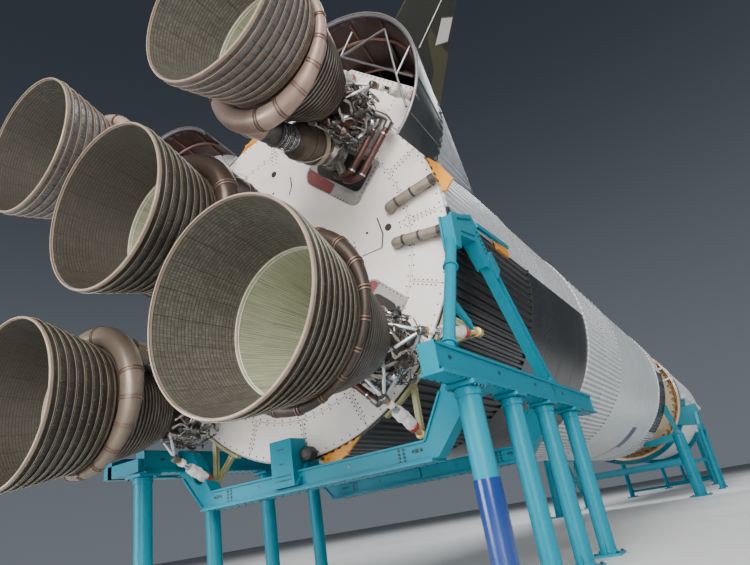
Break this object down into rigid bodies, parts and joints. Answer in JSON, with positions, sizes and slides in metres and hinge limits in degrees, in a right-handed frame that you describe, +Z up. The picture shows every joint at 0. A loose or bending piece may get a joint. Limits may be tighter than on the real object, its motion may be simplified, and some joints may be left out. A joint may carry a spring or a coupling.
{
  "type": "moon rocket scale model on display cradles",
  "caption": "Three-stage moon rocket lying on teal steel cradles: ribbed gimballed engines, finned fairings, striped tanks, bare second-stage engines, crew capsule and escape tower.",
  "frame": {"origin": "on the floor, midway along the length and midway between the fin tips", "axes": "+X towards the nose, +Y to the rocket's left, +Z up"},
  "size_m": [11.4208, 1.3676, 1.5288],
  "materials": {
    "bell_metal": "heat-stained ribbed metal",
    "chamber_metal": "dark banded tube wall",
    "gimbal_steel": "machined",
    "strut_olive": "olive primer",
    "rod_white": "white wrapped",
    "shield_white": "matt white panels",
    "hull_white": "white paint",
    "hull_black": "white and gloss black paint in quadrants",
    "fairing_grey": "bare dark metal with olive-gold fins",
    "cone_cream": "cream primer, copper-coloured rim",
    "small_bell": "bare tube wall",
    "capsule_silver": "bright foil and bare panels",
    "teal_steel": "teal-blue gloss paint"
  },
  "bodies": {
    "rocket": {"actuator_frame_upper_left": "strut_olive", "actuator_frame_upper_right": "strut_olive", "actuator_frame_lower_left": "strut_olive", "actuator_frame_lower_right": "strut_olive", "nozzle_extension_middle": "bell_metal", "thrust_chamber_middle": "chamber_metal", "second_engine_middle": "small_bell", "base_heat_shield": "shield_white", "thrust_structure": "hull_black", "fuel_tank": "hull_white", "intertank": "hull_white", "oxidizer_tank": "hull_white", "forward_skirt": "hull_white", "fairing_left": "fairing_grey", "fairing_right": "fairing_grey", "second_stage_thrust_cone": "cone_cream", "second_stage_tank": "hull_white", "interstage_cone": "hull_white", "third_stage": "hull_white", "lander_adapter": "hull_white", "service_module": "capsule_silver", "command_module": "capsule_silver", "escape_tower": "hull_white", "cradle_first_aft": "teal_steel", "cradle_first_fore": "teal_steel", "cradle_second_aft": "teal_steel", "cradle_second_fore": "teal_steel", "cradle_third": "teal_steel", "cradle_service": "teal_steel"},
    "first_cross_upper_left": {"gimbal_cross_upper_left": "gimbal_steel"},
    "first_engine_upper_left": {"nozzle_extension_upper_left": "bell_metal", "thrust_chamber_upper_left": "chamber_metal"},
    "rod_pitch_upper_left": {"actuator_rod_pitch_upper_left": "rod_white"},
    "rod_yaw_upper_left": {"actuator_rod_yaw_upper_left": "rod_white"},
    "small_cross_upper_left": {"second_cross_upper_left": "gimbal_steel"},
    "small_engine_upper_left": {"second_engine_upper_left": "small_bell"},
    "first_cross_upper_right": {"gimbal_cross_upper_right": "gimbal_steel"},
    "first_engine_upper_right": {"nozzle_extension_upper_right": "bell_metal", "thrust_chamber_upper_right": "chamber_metal"},
    "rod_pitch_upper_right": {"actuator_rod_pitch_upper_right": "rod_white"},
    "rod_yaw_upper_right": {"actuator_rod_yaw_upper_right": "rod_white"},
    "small_cross_upper_right": {"second_cross_upper_right": "gimbal_steel"},
    "small_engine_upper_right": {"second_engine_upper_right": "small_bell"},
    "first_cross_lower_left": {"gimbal_cross_lower_left": "gimbal_steel"},
    "first_engine_lower_left": {"nozzle_extension_lower_left": "bell_metal", "thrust_chamber_lower_left": "chamber_metal"},
    "rod_pitch_lower_left": {"actuator_rod_pitch_lower_left": "rod_white"},
    "rod_yaw_lower_left": {"actuator_rod_yaw_lower_left": "rod_white"},
    "small_cross_lower_left": {"second_cross_lower_left": "gimbal_steel"},
    "small_engine_lower_left": {"second_engine_lower_left": "small_bell"},
    "first_cross_lower_right": {"gimbal_cross_lower_right": "gimbal_steel"},
    "first_engine_lower_right": {"nozzle_extension_lower_right": "bell_metal", "thrust_chamber_lower_right": "chamber_metal"},
    "rod_pitch_lower_right": {"actuator_rod_pitch_lower_right": "rod_white"},
    "rod_yaw_lower_right": {"actuator_rod_yaw_lower_right": "rod_white"},
    "small_cross_lower_right": {"second_cross_lower_right": "gimbal_steel"},
    "small_engine_lower_right": {"second_engine_lower_right": "small_bell"}
  },
  "joints": [
    {"name": "pitch_upper_left", "type": "hinge", "parent": "rocket", "child": "first_cross_upper_left", "pos_m": [-5.1633, 0.3269, 1.1719], "axis": [0, 1, 0], "range_deg": [-5.15, 5.15]},
    {"name": "yaw_upper_left", "type": "hinge", "parent": "first_cross_upper_left", "child": "first_engine_upper_left", "pos_m": [-5.1633, 0.3269, 1.1719], "axis": [0, 0, 1], "range_deg": [-5.15, 5.15]},
    {"name": "rod_pitch_upper_left", "type": "slide", "parent": "rocket", "child": "rod_pitch_upper_left", "axis": [0.8916, 0, 0.4528], "range_m": [-0.0138, 0.0138]},
    {"name": "rod_yaw_upper_left", "type": "slide", "parent": "rocket", "child": "rod_yaw_upper_left", "axis": [0.8916, 0.4528, 0], "range_m": [-0.0138, 0.0138]},
    {"name": "pitch_upper_right", "type": "hinge", "parent": "rocket", "child": "first_cross_upper_right", "pos_m": [-5.1633, -0.3269, 1.1719], "axis": [0, 1, 0], "range_deg": [-5.15, 5.15]},
    {"name": "yaw_upper_right", "type": "hinge", "parent": "first_cross_upper_right", "child": "first_engine_upper_right", "pos_m": [-5.1633, -0.3269, 1.1719], "axis": [0, 0, 1], "range_deg": [-5.15, 5.15]},
    {"name": "rod_pitch_upper_right", "type": "slide", "parent": "rocket", "child": "rod_pitch_upper_right", "axis": [0.8916, 0, 0.4528], "range_m": [-0.0138, 0.0138]},
    {"name": "rod_yaw_upper_right", "type": "slide", "parent": "rocket", "child": "rod_yaw_upper_right", "axis": [0.8916, -0.4528, 0], "range_m": [-0.0138, 0.0138]},
    {"name": "pitch_lower_left", "type": "hinge", "parent": "rocket", "child": "first_cross_lower_left", "pos_m": [-5.1633, 0.3269, 0.5181], "axis": [0, 1, 0], "range_deg": [-5.15, 5.15]},
    {"name": "yaw_lower_left", "type": "hinge", "parent": "first_cross_lower_left", "child": "first_engine_lower_left", "pos_m": [-5.1633, 0.3269, 0.5181], "axis": [0, 0, 1], "range_deg": [-5.15, 5.15]},
    {"name": "rod_pitch_lower_left", "type": "slide", "parent": "rocket", "child": "rod_pitch_lower_left", "axis": [0.8916, 0, -0.4528], "range_m": [-0.0138, 0.0138]},
    {"name": "rod_yaw_lower_left", "type": "slide", "parent": "rocket", "child": "rod_yaw_lower_left", "axis": [0.8916, 0.4528, 0], "range_m": [-0.0138, 0.0138]},
    {"name": "pitch_lower_right", "type": "hinge", "parent": "rocket", "child": "first_cross_lower_right", "pos_m": [-5.1633, -0.3269, 0.5181], "axis": [0, 1, 0], "range_deg": [-5.15, 5.15]},
    {"name": "yaw_lower_right", "type": "hinge", "parent": "first_cross_lower_right", "child": "first_engine_lower_right", "pos_m": [-5.1633, -0.3269, 0.5181], "axis": [0, 0, 1], "range_deg": [-5.15, 5.15]},
    {"name": "rod_pitch_lower_right", "type": "slide", "parent": "rocket", "child": "rod_pitch_lower_right", "axis": [0.8916, 0, -0.4528], "range_m": [-0.0138, 0.0138]},
    {"name": "rod_yaw_lower_right", "type": "slide", "parent": "rocket", "child": "rod_yaw_lower_right", "axis": [0.8916, -0.4528, 0], "range_m": [-0.0138, 0.0138]},
    {"name": "second_pitch_upper_left", "type": "hinge", "parent": "rocket", "child": "small_cross_upper_left", "pos_m": [-0.6803, 0.18859, 1.03359], "axis": [0, 1, 0], "range_deg": [-7, 7]},
    {"name": "second_yaw_upper_left", "type": "hinge", "parent": "small_cross_upper_left", "child": "small_engine_upper_left", "pos_m": [-0.6803, 0.18859, 1.03359], "axis": [0, 0, 1], "range_deg": [-7, 7]},
    {"name": "second_pitch_upper_right", "type": "hinge", "parent": "rocket", "child": "small_cross_upper_right", "pos_m": [-0.6803, -0.18859, 1.03359], "axis": [0, 1, 0], "range_deg": [-7, 7]},
    {"name": "second_yaw_upper_right", "type": "hinge", "parent": "small_cross_upper_right", "child": "small_engine_upper_right", "pos_m": [-0.6803, -0.18859, 1.03359], "axis": [0, 0, 1], "range_deg": [-7, 7]},
    {"name": "second_pitch_lower_left", "type": "hinge", "parent": "rocket", "child": "small_cross_lower_left", "pos_m": [-0.6803, 0.18859, 0.65641], "axis": [0, 1, 0], "range_deg": [-7, 7]},
    {"name": "second_yaw_lower_left", "type": "hinge", "parent": "small_cross_lower_left", "child": "small_engine_lower_left", "pos_m": [-0.6803, 0.18859, 0.65641], "axis": [0, 0, 1], "range_deg": [-7, 7]},
    {"name": "second_pitch_lower_right", "type": "hinge", "parent": "rocket", "child": "small_cross_lower_right", "pos_m": [-0.6803, -0.18859, 0.65641], "axis": [0, 1, 0], "range_deg": [-7, 7]},
    {"name": "second_yaw_lower_right", "type": "hinge", "parent": "small_cross_lower_right", "child": "small_engine_lower_right", "pos_m": [-0.6803, -0.18859, 0.65641], "axis": [0, 0, 1], "range_deg": [-7, 7]}
  ],
  "couplings": [
    {"joint": "rod_pitch_upper_left", "follows": "pitch_upper_left", "m_per_rad": 0.1514},
    {"joint": "rod_yaw_upper_left", "follows": "yaw_upper_left", "m_per_rad": -0.1514},
    {"joint": "rod_pitch_upper_right", "follows": "pitch_upper_right", "m_per_rad": 0.1514},
    {"joint": "rod_yaw_upper_right", "follows": "yaw_upper_right", "m_per_rad": 0.1514},
    {"joint": "rod_pitch_lower_left", "follows": "pitch_lower_left", "m_per_rad": -0.1514},
    {"joint": "rod_yaw_lower_left", "follows": "yaw_lower_left", "m_per_rad": -0.1514},
    {"joint": "rod_pitch_lower_right", "follows": "pitch_lower_right", "m_per_rad": -0.1514},
    {"joint": "rod_yaw_lower_right", "follows": "yaw_lower_right", "m_per_rad": 0.1514}
  ]
}
